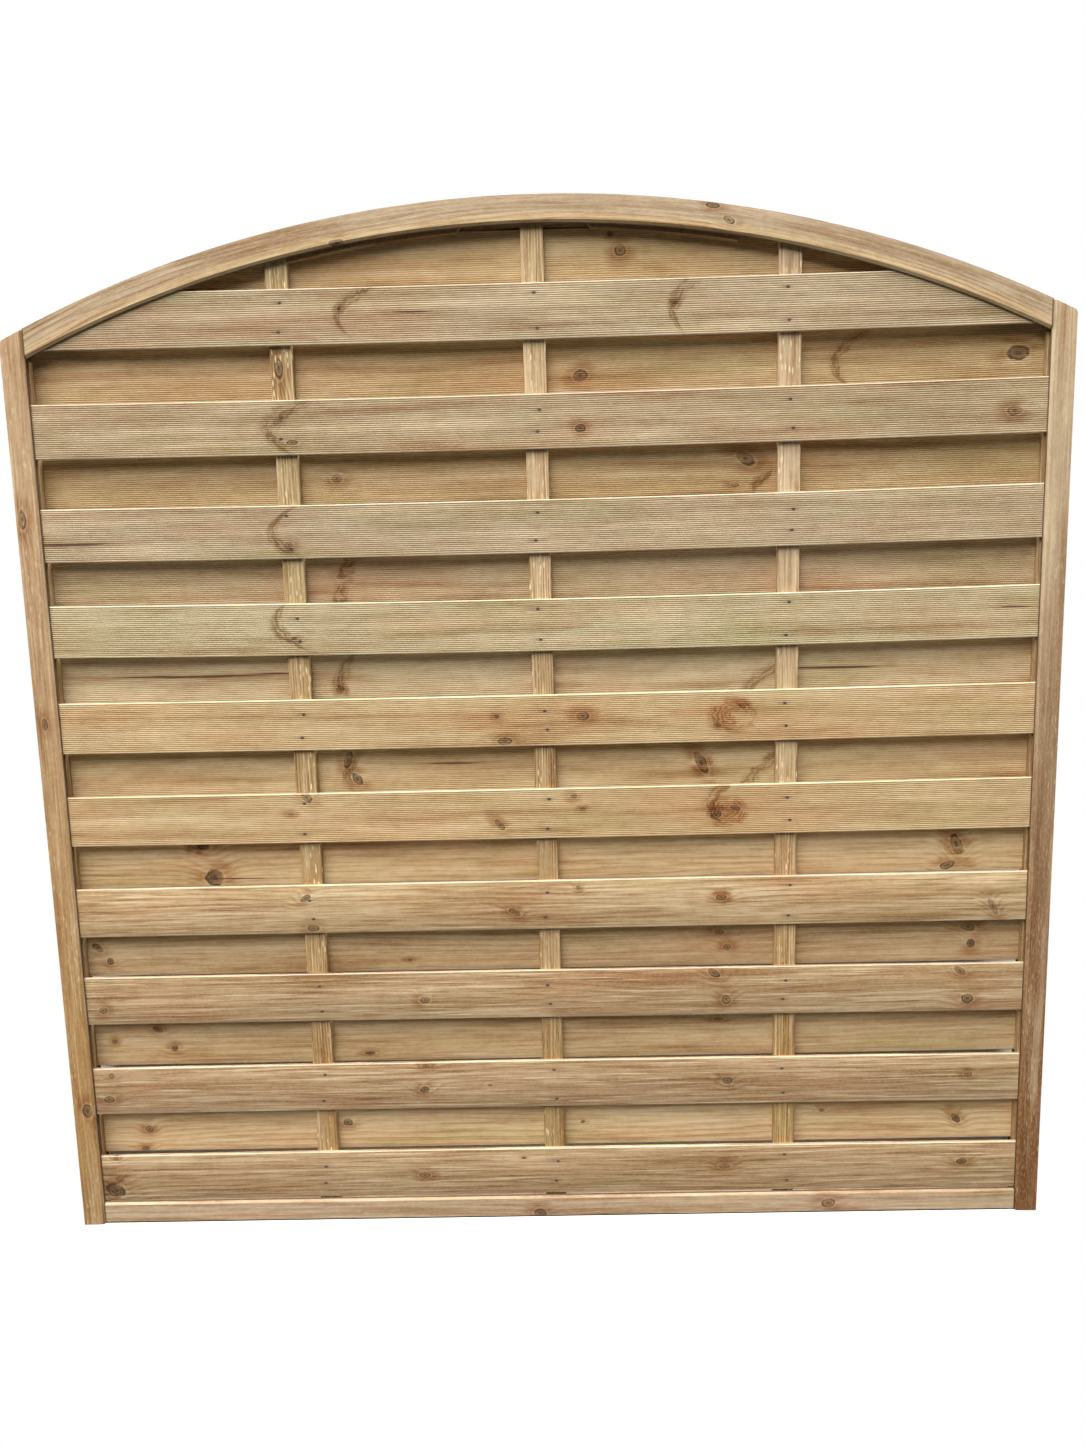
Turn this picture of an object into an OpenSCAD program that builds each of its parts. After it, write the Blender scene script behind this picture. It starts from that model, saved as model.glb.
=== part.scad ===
// Arched fence panel, 1.8 m wide, with horizontal slats nailed on both sides of upright battens.
// X runs along the width, the front faces -Y and Z is up. The origin lies on the outer face of the
// left stile, at its foot and in the middle of its thickness.

/* [Panel] */
// Width over the two stiles
panel_w = 1800; // [1200:10:2400]
// Height from the feet of the stiles to the crown of the arch
panel_h = 1824; // [1600:4:2100]
// How far the crown of the arch stands above the outer corners
arch_rise = 207; // [120:1:280]

/* [Frame] */
// Thickness of the frame, front to back
frame_t = 45; // [42:1:60]
// Width of each stile
stile_w = 41; // [34:1:60]
// Depth of the arched rail, measured towards the centre of its circle
arch_d = 45; // [38:1:70]
// Height of the bottom rail
rail_h = 40; // [34:1:70]
// Gap between the feet of the stiles and the underside of the bottom rail
rail_lift = 5; // [2:1:30]
// Bevel along the inner arrises of the frame
bevel = 5; // [2:0.5:5]
// Radius of the outer top corner of each stile
corner_r = 9; // [4:1:16]
// Depth of the groove that houses the slats
groove_d = 12; // [8:1:16]

/* [Slats] */
// Width of a slat
slat_w = 91; // [86:1:110]
// Thickness of a slat
slat_t = 8; // [6:0.5:9]
// Radius of the eased long arrises of a slat
slat_ease = 2; // [0.5:0.5:2.5]
// How far the slats reach into the grooves of the stiles
slat_in = 10; // [4:1:10]
// How far the top slats, sawn to the curve, reach into the arch's groove
slat_head_in = 8; // [4:1:10]
// Gap between the bottom rail and the lowest front slat
slat_seat = 2; // [1:1:8]
// Gap between the top back slat and the crown of the arch
crown_gap = 7; // [0:1:12]

/* [Battens] */
// Width of the upright battens between the slats
batten_w = 38; // [25:1:60]
// Thickness of the battens, which holds the front and back slats apart
batten_t = 15; // [10:1:15]
// How far the laths in the arch's groove stand below its underside
lath_proud = 4; // [0:1:8]

/* [Hidden] */
$fn = 1440;

// Clearance between a slat and each lip of the groove
groove_slack = 0.5;
// Number of slats on each face
rows = 10;
// How far each front slat was nailed above or below its even place, from the lowest slat up
nailing = [-1, 2, 6, 4, 2, -1, -4, -7, -4, 3];
// The same for each back slat, from its even place above its front slat
back_nailing = [0, 0, 0, 0, 0, 0, 0, 2, 7, 2];
// Where the loose ends of the arch laths lie, as shares of the panel's half width
lath_ends = [0.86, 1.11, 1.38];
// How much further a lath's upper edge reaches than its lower one, at a sloping end
lath_slope = 12;

half_w = panel_w / 2;
arch_r = (half_w * half_w + arch_rise * arch_rise) / (2 * arch_rise);
arch_z = panel_h - arch_r;
under_r = arch_r - arch_d;
groove_r = under_r + groove_d;
slat_r = under_r + slat_head_in;
lath_r = under_r - lath_proud;
lath_h = groove_d + lath_proud;

groove_w = batten_t + 2 * (slat_t + groove_slack);
rail_top = rail_lift + rail_h;
groove_z = rail_top - groove_d;
inner_w = panel_w - 2 * stile_w;
slat_x = stile_w - slat_in;
slat_l = inner_w + 2 * slat_in;

// The stack of front and back slats fills the height between the bottom rail and the crown
first_z = rail_top + slat_seat;
half_pitch = (arch_z + under_r - crown_gap - first_z - slat_w) / (2 * rows - 1);

tan_wood = [0.76, 0.62, 0.46];
gold_wood = [0.70, 0.56, 0.37];
shade_wood = [0.64, 0.51, 0.34];
pale_wood = [0.82, 0.70, 0.52];

// Disc about the centre of the arch, of radius r and thickness t, standing in the plane of the panel
module arch_disc(r, t) {
    translate([half_w, t / 2, arch_z])
        rotate([90, 0, 0])
            cylinder(h = t, r = r);
}

// Section of a frame member: x across its width, y through its thickness, the groove at x = 0
module frame_section(depth) {
    lip_y = frame_t / 2;
    gap_y = groove_w / 2;
    polygon([[bevel, -lip_y], [depth, -lip_y], [depth, lip_y], [bevel, lip_y],
             [0, lip_y - bevel], [0, gap_y], [groove_d, gap_y],
             [groove_d, -gap_y], [0, -gap_y], [0, -lip_y + bevel]]);
}

// Solid section of a frame member, without its groove
module plain_section(depth) {
    lip_y = frame_t / 2;
    polygon([[bevel, -lip_y], [depth, -lip_y], [depth, lip_y], [bevel, lip_y],
             [0, lip_y - bevel], [0, -lip_y + bevel]]);
}

// Outline of the left stile seen from the front, its top cut to the arch and its corner rounded
module stile_outline() {
    corner_z = arch_z + sqrt(pow(arch_r - corner_r, 2) - pow(half_w - corner_r, 2));
    square([stile_w, corner_z]);
    translate([corner_r, corner_z])
        circle(r = corner_r);
    intersection() {
        translate([corner_r, 0])
            square([stile_w - corner_r, panel_h]);
        translate([half_w, arch_z])
            circle(r = arch_r);
    }
}

// Left stile: its groove is stopped at the bottom rail and at the arch
module stile() {
    color(gold_wood)
        difference() {
            intersection() {
                translate([stile_w, 0, 0])
                    mirror([1, 0, 0])
                        linear_extrude(height = panel_h)
                            plain_section(stile_w);
                translate([0, frame_t / 2, 0])
                    rotate([90, 0, 0])
                        linear_extrude(height = frame_t)
                            stile_outline();
            }
            intersection() {
                translate([stile_w - groove_d, -groove_w / 2, groove_z])
                    cube([2 * groove_d, groove_w, panel_h]);
                arch_disc(groove_r, groove_w);
            }
        }
}

module stile_left() {
    stile();
}

module stile_right() {
    translate([panel_w, 0, 0])
        mirror([1, 0, 0])
            stile();
}

// Arched rail: the frame's section swept along the circle and sawn off at the stiles
module arch_rail() {
    sweep = 2 * asin(half_w / under_r);
    color(tan_wood)
        intersection() {
            translate([half_w, 0, arch_z])
                rotate([90, 0, 0])
                    rotate([0, 0, 90 - sweep / 2])
                        rotate_extrude(angle = sweep)
                            translate([under_r, 0])
                                frame_section(arch_d);
            translate([stile_w, -frame_t, 0])
                cube([inner_w, 2 * frame_t, 2 * panel_h]);
        }
}

// Bottom rail, its groove upwards
module bottom_rail() {
    color(tan_wood)
        translate([stile_w, 0, rail_top])
            rotate([0, 90, 0])
                linear_extrude(height = inner_w)
                    frame_section(rail_h);
}

// Upright lath that fills the middle of a stile's groove
module spacer() {
    color(pale_wood)
        intersection() {
            translate([stile_w - groove_d, -batten_t / 2, groove_z])
                cube([groove_d, batten_t, panel_h]);
            arch_disc(under_r, batten_t);
        }
}

module spacer_left() {
    spacer();
}

module spacer_right() {
    translate([panel_w, 0, 0])
        mirror([1, 0, 0])
            spacer();
}

// Middle of upright batten number n, along the panel
function batten_x(n) = stile_w + inner_w * n / 4;

// Upright batten number n of three, at the quarter points of the opening, housed in both grooves
module batten(n) {
    color(pale_wood)
        intersection() {
            translate([batten_x(n) - batten_w / 2, -batten_t / 2, groove_z])
                cube([batten_w, batten_t, panel_h]);
            arch_disc(groove_r, batten_t);
        }
}

// Height of the arch laths' lower edge at x along the panel
function lath_z(x) = arch_z + sqrt(pow(lath_r, 2) - pow(x - half_w, 2));

// Curved lath in the arch's groove. Its lower edge runs from x = a to x = b, and its ends slope
// outwards by the lengths given, up to the floor of the groove.
module arch_lath(a, b, slope_a, slope_b) {
    color(pale_wood)
        translate([0, batten_t / 2, 0])
            rotate([90, 0, 0])
                linear_extrude(height = batten_t)
                    intersection() {
                        difference() {
                            translate([half_w, arch_z])
                                circle(r = groove_r);
                            translate([half_w, arch_z])
                                circle(r = lath_r);
                        }
                        polygon([[a, arch_z], [b, arch_z], [b, lath_z(b)],
                                 [b + slope_b, lath_z(b) + lath_h], [b + slope_b, panel_h],
                                 [a - slope_a, panel_h], [a - slope_a, lath_z(a) + lath_h],
                                 [a, lath_z(a)]]);
                    }
}

// From the left batten to a little short of the middle one
module arch_lath_left() {
    arch_lath(batten_x(1) + batten_w / 2, half_w * lath_ends[0], 0, lath_slope);
}

// Between the middle and the right batten, clear of both
module arch_lath_right() {
    arch_lath(half_w * lath_ends[1], half_w * lath_ends[2], lath_slope, lath_slope);
}

// Section of a slat, standing on z = 0 with its near face at y = 0, its long arrises eased
module slat_section() {
    translate([slat_ease, 0])
        square([slat_t - 2 * slat_ease, slat_w]);
    translate([0, slat_ease])
        square([slat_t, slat_w - 2 * slat_ease]);
    for (y = [slat_ease, slat_t - slat_ease])
        for (z = [slat_ease, slat_w - slat_ease])
            translate([y, z])
                circle(r = slat_ease, $fn = 48);
}

// One slat with its lower edge at height z and its near face at y, cut to the arch where it meets it
module slat(y, z) {
    intersection() {
        translate([slat_x, y, z])
            rotate([90, 0, 90])
                linear_extrude(height = slat_l)
                    slat_section();
        arch_disc(slat_r, frame_t);
    }
}

// Height of the lower edge of front slat n, counted from the top
function front_z(n) = first_z + 2 * half_pitch * (rows - n) + nailing[rows - n];

module slat_front(n) {
    color(tan_wood)
        slat(-batten_t / 2 - slat_t, front_z(n));
}

// A back slat covers the space above its front slat
module slat_back(n) {
    color(shade_wood)
        slat(batten_t / 2, front_z(n) + half_pitch + back_nailing[rows - n]);
}

stile_left();
stile_right();
arch_rail();
bottom_rail();
spacer_left();
spacer_right();
batten(1);  // batten_left
batten(2);  // batten_middle
batten(3);  // batten_right
arch_lath_left();
arch_lath_right();
slat_front(1);  // slat_front_01
slat_front(2);  // slat_front_02
slat_front(3);  // slat_front_03
slat_front(4);  // slat_front_04
slat_front(5);  // slat_front_05
slat_front(6);  // slat_front_06
slat_front(7);  // slat_front_07
slat_front(8);  // slat_front_08
slat_front(9);  // slat_front_09
slat_front(10);  // slat_front_10
slat_back(1);  // slat_back_01
slat_back(2);  // slat_back_02
slat_back(3);  // slat_back_03
slat_back(4);  // slat_back_04
slat_back(5);  // slat_back_05
slat_back(6);  // slat_back_06
slat_back(7);  // slat_back_07
slat_back(8);  // slat_back_08
slat_back(9);  // slat_back_09
slat_back(10);  // slat_back_10
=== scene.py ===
# Arched fence panel of planed softwood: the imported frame, dressed and lit as in the photograph.
import math
import bmesh
import bpy
from mathutils import Matrix, Vector


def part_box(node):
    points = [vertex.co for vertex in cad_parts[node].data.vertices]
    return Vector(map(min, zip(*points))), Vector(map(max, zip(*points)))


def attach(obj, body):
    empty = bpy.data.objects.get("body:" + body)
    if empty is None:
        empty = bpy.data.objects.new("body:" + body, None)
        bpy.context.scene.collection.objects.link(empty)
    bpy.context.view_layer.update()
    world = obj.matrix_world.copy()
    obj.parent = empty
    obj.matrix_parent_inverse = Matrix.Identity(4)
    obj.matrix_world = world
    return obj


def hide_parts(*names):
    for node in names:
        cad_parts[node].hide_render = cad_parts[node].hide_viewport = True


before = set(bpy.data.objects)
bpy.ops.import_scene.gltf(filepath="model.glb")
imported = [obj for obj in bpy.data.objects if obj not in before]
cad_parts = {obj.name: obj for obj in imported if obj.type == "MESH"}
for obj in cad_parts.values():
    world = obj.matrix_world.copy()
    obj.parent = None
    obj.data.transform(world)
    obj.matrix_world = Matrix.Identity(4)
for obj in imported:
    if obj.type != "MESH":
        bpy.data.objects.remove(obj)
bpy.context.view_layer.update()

# The viewpoint: a phone held at chest height two metres in front of the panel, a little right of
# its middle, tilted down by nine degrees and leaning by one.
EYE = (0.9317, -1.9146, 1.2366)
EYE_TURN = (81.2455, 1.4712, 0.7853)
PHOTO_HEIGHT = 1448
FOCAL_PIXELS = 1088
phone = bpy.data.cameras.new("phone")
phone.sensor_width = 36
phone.lens = 36 * FOCAL_PIXELS / PHOTO_HEIGHT
phone.clip_start = 0.05
eye = bpy.data.objects.new("eye", phone)
eye.location = EYE
eye.rotation_euler = [math.radians(a) for a in EYE_TURN]
bpy.context.scene.collection.objects.link(eye)
bpy.context.scene.camera = eye
bpy.context.scene.view_settings.view_transform = "Standard"

# The place and its light: an overcast sky, brightest overhead and in front, over a plain pale
# floor. Its pale part is a fan, fixed on the floor, that widens from the foot of the viewpoint to
# behind the panel. Past its sides and its two ends the floor is plain white.
FLOOR_SIZE = 30
FLOOR_TONE = (0.86, 0.86, 0.85, 1)
BOUNCE_TONE = (0.07, 0.07, 0.065, 1)
DARK_REACH = (1.6, 3.2)
DARK_FRONT = (-0.7, -1.1)
DARK_SPREAD = (0.452, 0.466)
DARK_LEAN = 0.0165
NEAREST_AHEAD = 0.01
SKY_STRENGTH = 0.035
SKY_TONE = (0.96, 0.98, 1.0, 1)
CLOUD_TONE = (1.0, 0.985, 0.96)
PANEL_MIDDLE = (0.9, 0, 0.9)
FRONT_POWER = 2600
TOP_POWER = 1500
BACK_POWER = 2300
GROUND_POWER = 330
SIDE_POWER = 420


def wire(tree, source, socket):
    """Joins a socket to another, or writes a plain value into it."""
    if isinstance(source, bpy.types.NodeSocket):
        tree.links.new(source, socket)
    else:
        socket.default_value = source


def sum_node(tree, operation, *values):
    node = tree.nodes.new("ShaderNodeMath")
    node.operation = operation
    for value, socket in zip(values, node.inputs):
        wire(tree, value, socket)
    return node.outputs[0]


def ease(tree, value, start, end):
    """Smooth share from 0 at start to 1 at end."""
    node = tree.nodes.new("ShaderNodeMapRange")
    node.interpolation_type = "SMOOTHSTEP"
    node.clamp = True
    wire(tree, value, node.inputs["Value"])
    wire(tree, start, node.inputs["From Min"])
    wire(tree, end, node.inputs["From Max"])
    return node.outputs["Result"]


def seen_directly(tree):
    """1 for what the camera, a gloss or glass sees, 0 for light that falls on the panel."""
    path = tree.nodes.new("ShaderNodeLightPath")
    gloss = sum_node(tree, "MAXIMUM", path.outputs["Is Glossy Ray"], path.outputs["Is Transmission Ray"])
    return sum_node(tree, "MAXIMUM", path.outputs["Is Camera Ray"], gloss)


bm = bmesh.new()
bmesh.ops.create_grid(bm, x_segments=8, y_segments=8, size=FLOOR_SIZE / 2)
floor_mesh = bpy.data.meshes.new("floor")
bm.to_mesh(floor_mesh)
bm.free()
floor = bpy.data.objects.new("floor", floor_mesh)
bpy.context.scene.collection.objects.link(floor)
floor_look = bpy.data.materials.new("pale floor")
floor_look.use_nodes = True
tree = floor_look.node_tree
tree.nodes.clear()
out = tree.nodes.new("ShaderNodeOutputMaterial")
pale = tree.nodes.new("ShaderNodeBsdfDiffuse")
pale.inputs["Color"].default_value = FLOOR_TONE
dull = tree.nodes.new("ShaderNodeBsdfDiffuse")
dull.inputs["Color"].default_value = BOUNCE_TONE
white = tree.nodes.new("ShaderNodeEmission")
white.inputs["Strength"].default_value = 1.0
place = tree.nodes.new("ShaderNodeTexCoord")
ground_place = tree.nodes.new("ShaderNodeSeparateXYZ")
tree.links.new(place.outputs["Object"], ground_place.inputs[0])
aside = sum_node(tree, "SUBTRACT", ground_place.outputs["X"], EYE[0])
ahead = sum_node(tree, "SUBTRACT", ground_place.outputs["Y"], EYE[1])
ahead = sum_node(tree, "MAXIMUM", ahead, NEAREST_AHEAD)
heading = sum_node(tree, "ADD", sum_node(tree, "DIVIDE", aside, ahead), DARK_LEAN)
beside = ease(tree, sum_node(tree, "ABSOLUTE", heading), *DARK_SPREAD)
fade = tree.nodes.new("ShaderNodeMixShader")
beyond = sum_node(tree, "MAXIMUM", ease(tree, ground_place.outputs["Y"], *DARK_REACH),
                  ease(tree, ground_place.outputs["Y"], *DARK_FRONT))
tree.links.new(sum_node(tree, "MAXIMUM", beside, beyond), fade.inputs[0])
tree.links.new(pale.outputs[0], fade.inputs[1])
tree.links.new(white.outputs[0], fade.inputs[2])
pick = tree.nodes.new("ShaderNodeMixShader")
tree.links.new(seen_directly(tree), pick.inputs[0])
tree.links.new(dull.outputs[0], pick.inputs[1])
tree.links.new(fade.outputs[0], pick.inputs[2])
tree.links.new(pick.outputs[0], out.inputs["Surface"])
floor_mesh.materials.append(floor_look)

sky = bpy.data.worlds.new("overcast sky")
bpy.context.scene.world = sky
sky.use_nodes = True
tree = sky.node_tree
tree.nodes.clear()
out = tree.nodes.new("ShaderNodeOutputWorld")
shown = tree.nodes.new("ShaderNodeBackground")
shown.inputs["Color"].default_value = (1, 1, 1, 1)
light = tree.nodes.new("ShaderNodeBackground")
light.inputs["Color"].default_value = SKY_TONE
light.inputs["Strength"].default_value = SKY_STRENGTH
pick = tree.nodes.new("ShaderNodeMixShader")
tree.links.new(seen_directly(tree), pick.inputs[0])
tree.links.new(light.outputs[0], pick.inputs[1])
tree.links.new(shown.outputs[0], pick.inputs[2])
tree.links.new(pick.outputs[0], out.inputs["Surface"])

panel_pieces = bpy.data.collections.new("panel pieces")
ground = bpy.data.collections.new("ground")
ground.objects.link(floor)


def cloud(name, where, towards, power, size, lit):
    """A broad soft lamp that stands for a bright part of the sky and lights one collection."""
    lamp = bpy.data.lights.new(name, "AREA")
    lamp.shape = "RECTANGLE"
    lamp.size, lamp.size_y = size
    lamp.energy = power
    lamp.color = CLOUD_TONE
    holder = bpy.data.objects.new(name, lamp)
    holder.location = where
    holder.rotation_euler = (Vector(towards) - Vector(where)).to_track_quat("-Z", "Y").to_euler()
    bpy.context.scene.collection.objects.link(holder)
    holder.light_linking.receiver_collection = lit
    holder.visible_camera = False


# the ground has a cloud of its own, low in front, so that what shows through the panel's gaps lies
# in the slats' shadow
cloud("cloud_front", (-2.6, -6.9, 10.0), PANEL_MIDDLE, FRONT_POWER, (13.0, 9.0), panel_pieces)
cloud("cloud_top", (0.2, -2.2, 12.0), PANEL_MIDDLE, TOP_POWER, (12.0, 6.0), panel_pieces)
cloud("cloud_back", (3.2, 6.9, 10.0), PANEL_MIDDLE, BACK_POWER, (13.0, 9.0), panel_pieces)
cloud("cloud_left", (-7.1, 0, 3.5), PANEL_MIDDLE, SIDE_POWER, (1.6, 4.0), panel_pieces)
cloud("cloud_right", (8.9, 0, 3.5), PANEL_MIDDLE, SIDE_POWER, (1.6, 4.0), panel_pieces)
cloud("cloud_ground", (0.93, -2.4, 2.6), (0.9, -0.3, 0), GROUND_POWER, (0.4, 0.3), ground)

# The two side stiles: planed uprights, grooved down the middle of their inner face, bevelled along
# the inner arrises and sawn at the top to the line of the arch.
PANEL_WIDTH = 1.800
STILE_WIDTH = 0.041
FRAME_THICK = 0.045
HALF_THICK = FRAME_THICK / 2
BEVEL = 0.005
GROOVE_DEPTH = 0.012
HALF_GROOVE = 0.016
GROOVE_FOOT = 0.033
PANEL_HEIGHT = 1.824
ARCH_RISE = 0.207
ARCH_RADIUS = ((PANEL_WIDTH / 2) ** 2 + ARCH_RISE ** 2) / (2 * ARCH_RISE)
ARCH_CENTRE = Vector((PANEL_WIDTH / 2, 0, PANEL_HEIGHT - ARCH_RADIUS))
ARCH_DEPTH = 0.045
UNDER_RADIUS = ARCH_RADIUS - ARCH_DEPTH
ARRIS = 0.0012
HEAD_CORNER = 0.009
CORNER_CUTS = 5
CORNER_TURN = 11
ARRIS_ANGLE = 40
FLAT_ANGLE = 35
# how far the painted shade in the joint with the slats reaches, up the bevel and before the frame's own
# ends
JOINT_SHADE_SPAN = (0.60, 0.88)
END_SHADE_GAP = (0.0026, 0.0010)
JOINT_SHADE_SHARE = 0.85
LIP_REACH = 1e-4


def srgb(red, green, blue):
    """A colour as read off a screen, 0 to 255, made linear."""
    made = []
    for part in (red, green, blue):
        share = part / 255
        made.append(share / 12.92 if share <= 0.04045 else ((share + 0.055) / 1.055) ** 2.4)
    return (*made, 1.0)


def tint(tree, share, first, second, blend="MIX"):
    node = tree.nodes.new("ShaderNodeMix")
    node.data_type = "RGBA"
    node.blend_type = blend
    wire(tree, share, node.inputs["Factor"])
    wire(tree, first, node.inputs["A"])
    wire(tree, second, node.inputs["B"])
    return node.outputs["Result"]


def cloudiness(tree, along, across, through, scales, seed, detail=2.0):
    """Noise stretched along the grain, 0 to 1."""
    join = tree.nodes.new("ShaderNodeCombineXYZ")
    for value, scale, socket in zip((along, across, through), scales, join.inputs):
        wire(tree, sum_node(tree, "MULTIPLY_ADD", value, scale, seed), socket)
    noise = tree.nodes.new("ShaderNodeTexNoise")
    noise.inputs["Scale"].default_value = 1.0
    noise.inputs["Detail"].default_value = detail
    noise.inputs["Roughness"].default_value = 0.55
    tree.links.new(join.outputs[0], noise.inputs["Vector"])
    return noise.outputs["Fac"]


def squared_distance(tree, along, across, spot):
    """Distance from a spot, squared, in units of its own half length and half height."""
    u = sum_node(tree, "DIVIDE", sum_node(tree, "SUBTRACT", along, spot[0]), spot[2])
    v = sum_node(tree, "DIVIDE", sum_node(tree, "SUBTRACT", across, spot[1]), spot[3])
    lean = spot[4] if len(spot) > 4 else 0.0
    if lean:
        v = sum_node(tree, "MULTIPLY_ADD", u, lean, v)
    return sum_node(tree, "MULTIPLY_ADD", u, u, sum_node(tree, "MULTIPLY", v, v))


def softwood(name, way, tone, seed, knots=(), checks=(), low_tone=None, ring=0.0085, wander=0.016,
             line_share=0.6, flecks=0.0, blush=0.5, nails=(), feathers=(), swirls=(), reeded=False,
             arris_highlighted=False, joint_shaded=False, heart_share=0.6, hair=0.6, low_span=(1.5, 0.2)):
    """Planed, pressure-treated softwood. way is the run of the grain: x, z or arch. Knots, swirls and
    checks are (along, across, half length, half height, lean) in metres. Feathers are bent across
    the grain: (along, across, half height, lean, bend, half width, spread), the grain torn up
    beside a knot."""
    look = bpy.data.materials.new(name)
    look.use_nodes = True
    tree = look.node_tree
    shader = tree.nodes["Principled BSDF"]
    coords = tree.nodes.new("ShaderNodeTexCoord")
    split = tree.nodes.new("ShaderNodeSeparateXYZ")
    tree.links.new(coords.outputs["Object"], split.inputs[0])
    x, y, z = split.outputs
    if way == "x":
        along, across = x, z
    elif way == "z":
        along, across = z, x
    else:
        side = sum_node(tree, "SUBTRACT", x, ARCH_CENTRE.x)
        rise = sum_node(tree, "SUBTRACT", z, ARCH_CENTRE.z)
        along = sum_node(tree, "MULTIPLY", sum_node(tree, "ARCTAN2", side, rise), ARCH_RADIUS)
        square = sum_node(tree, "MULTIPLY_ADD", side, side, sum_node(tree, "MULTIPLY", rise, rise))
        across = sum_node(tree, "SUBTRACT", sum_node(tree, "SQRT", square), UNDER_RADIUS)

    def mottle(scales, shift, detail=2.0):
        return cloudiness(tree, along, across, y, scales, seed + shift, detail)

    def stain(amount, colour, by):
        return tint(tree, amount, colour, tint(tree, 1.0, colour, by, "MULTIPLY"))

    def product(*factors):
        made = factors[0]
        for factor in factors[1:]:
            made = sum_node(tree, "MULTIPLY", made, factor)
        return made

    # how the growth rings wander over the face
    drift = mottle((1.3, 7.0, 9.0), 0.0, 1.0)
    ripple = mottle((7.0, 40.0, 20.0), 3.1)
    bent = sum_node(tree, "MULTIPLY_ADD", sum_node(tree, "SUBTRACT", drift, 0.5), wander * 2.6, across)
    bent = sum_node(tree, "MULTIPLY_ADD", sum_node(tree, "SUBTRACT", ripple, 0.5), wander * 0.5, bent)
    bent = sum_node(tree, "MULTIPLY_ADD", y, 0.6, bent)
    field = sum_node(tree, "DIVIDE", bent, ring)
    ragged = sum_node(tree, "MULTIPLY_ADD", mottle((75, 75, 75), 2.0, 2.0), 0.7, -0.35)
    near = 9.0
    for spot in knots:
        square = squared_distance(tree, along, across, spot)
        wide = sum_node(tree, "EXPONENT", sum_node(tree, "MULTIPLY", square, -0.14))
        field = sum_node(tree, "MULTIPLY_ADD", wide, 0.6 * spot[3] / ring + 1.3, field)
        near = sum_node(tree, "MINIMUM", near, sum_node(tree, "SQRT", square))

    # growth rings: pale early wood that darkens to a line of late wood, strong here and faint there
    beat = sum_node(tree, "FRACT", field)
    late = product(ease(tree, beat, 0.25, 0.88), ease(tree, beat, 1.0, 0.90))
    fine = sum_node(tree, "FRACT", sum_node(tree, "MULTIPLY", field, 3.3))
    fine = product(ease(tree, fine, 0.2, 0.8), ease(tree, fine, 1.0, 0.85))
    strength = ease(tree, mottle((2.6, 19.0, 9.0), 7.7), 0.38, 0.68)
    shown = product(late, sum_node(tree, "MULTIPLY_ADD", strength, 0.85, 0.15))
    shown = sum_node(tree, "MULTIPLY_ADD", fine, 0.30, shown)
    fibre = mottle((130.0, 560.0, 400.0), 1.3)
    pore = mottle((8.0, 230.0, 120.0), 5.9, 3.0)

    body = tone
    if low_tone:
        upto = ease(tree, across, 0.022, 0.009) if way == "arch" else ease(tree, along, *low_span)
        body = tint(tree, upto, tone, low_tone)
    # broad patches: pinkish, olive where the preservative took, and lighter or darker wood
    warm = mottle((2.6, 12.0, 9.0), 11.0)
    olive = mottle((3.4, 17.0, 9.0), 19.0)
    depth = mottle((3.0, 44.0, 20.0), 23.0, 3.0)
    colour = stain(product(ease(tree, warm, 0.46, 0.72), blush), body, srgb(255, 232, 222))
    colour = stain(product(ease(tree, olive, 0.48, 0.72), blush), colour, srgb(232, 240, 216))
    colour = stain(product(ease(tree, depth, 0.50, 0.72), 0.85), colour, srgb(214, 194, 170))
    colour = tint(tree, product(ease(tree, depth, 0.49, 0.28), 0.34), colour, srgb(236, 216, 182))
    colour = stain(product(shown, line_share), colour, srgb(196, 166, 132))
    # hairlines along the grain, dark and pale, and the short broken fibre between them
    colour = stain(product(ease(tree, pore, 0.47, 0.66), hair), colour, srgb(196, 170, 140))
    pale_hair = ease(tree, mottle((6.0, 330.0, 160.0), 53.0), 0.54, 0.68)
    colour = tint(tree, product(pale_hair, 0.56 * hair), colour, srgb(240, 222, 186))
    blotch = mottle((42.0, 90.0, 60.0), 61.0)
    colour = stain(product(ease(tree, blotch, 0.40, 0.72), 0.26), colour, srgb(206, 184, 158))
    colour = tint(tree, product(ease(tree, fibre, 0.42, 0.75), 0.16), colour, srgb(240, 218, 180))
    height = sum_node(tree, "MULTIPLY_ADD", fibre, 0.35, product(shown, -0.5))

    if knots:
        # brown or greyed rings in the heart of a knot, a dark broken rim and darker wood around
        reach = sum_node(tree, "ADD", near, product(ragged, ease(tree, near, 0.0, 0.5)))
        kind = ease(tree, mottle((5, 11, 7), 31.0, 1.0), 0.42, 0.58)
        broken = ease(tree, mottle((34, 70, 30), 41.0), 0.42, 0.58)
        around = product(ease(tree, reach, 4.0, 1.1), ease(tree, mottle((16, 50, 20), 37.0), 0.34, 0.60))
        colour = stain(product(around, 0.80), colour, srgb(200, 162, 124))
        collar = product(ease(tree, reach, 1.0, 1.2), ease(tree, reach, 1.6, 1.3))
        colour = tint(tree, product(collar, 0.16), colour, srgb(222, 200, 160))
        heart = ease(tree, reach, 1.05, 0.80)
        rings = sum_node(tree, "FRACT", sum_node(tree, "MULTIPLY", reach, 3.3))
        rings = product(ease(tree, rings, 0.15, 0.75), ease(tree, rings, 1.0, 0.85))
        brown = tint(tree, kind, srgb(116, 92, 64), srgb(156, 130, 92))
        brown = stain(rings, brown, srgb(150, 128, 106))
        colour = tint(tree, product(heart, sum_node(tree, "MULTIPLY_ADD", broken, 0.30, heart_share)),
                      colour, brown)
        colour = tint(tree, product(ease(tree, reach, 0.40, 0.16), 0.75), colour, srgb(74, 60, 50))
        off_rim = sum_node(tree, "ABSOLUTE", sum_node(tree, "SUBTRACT", reach, 0.98))
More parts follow.
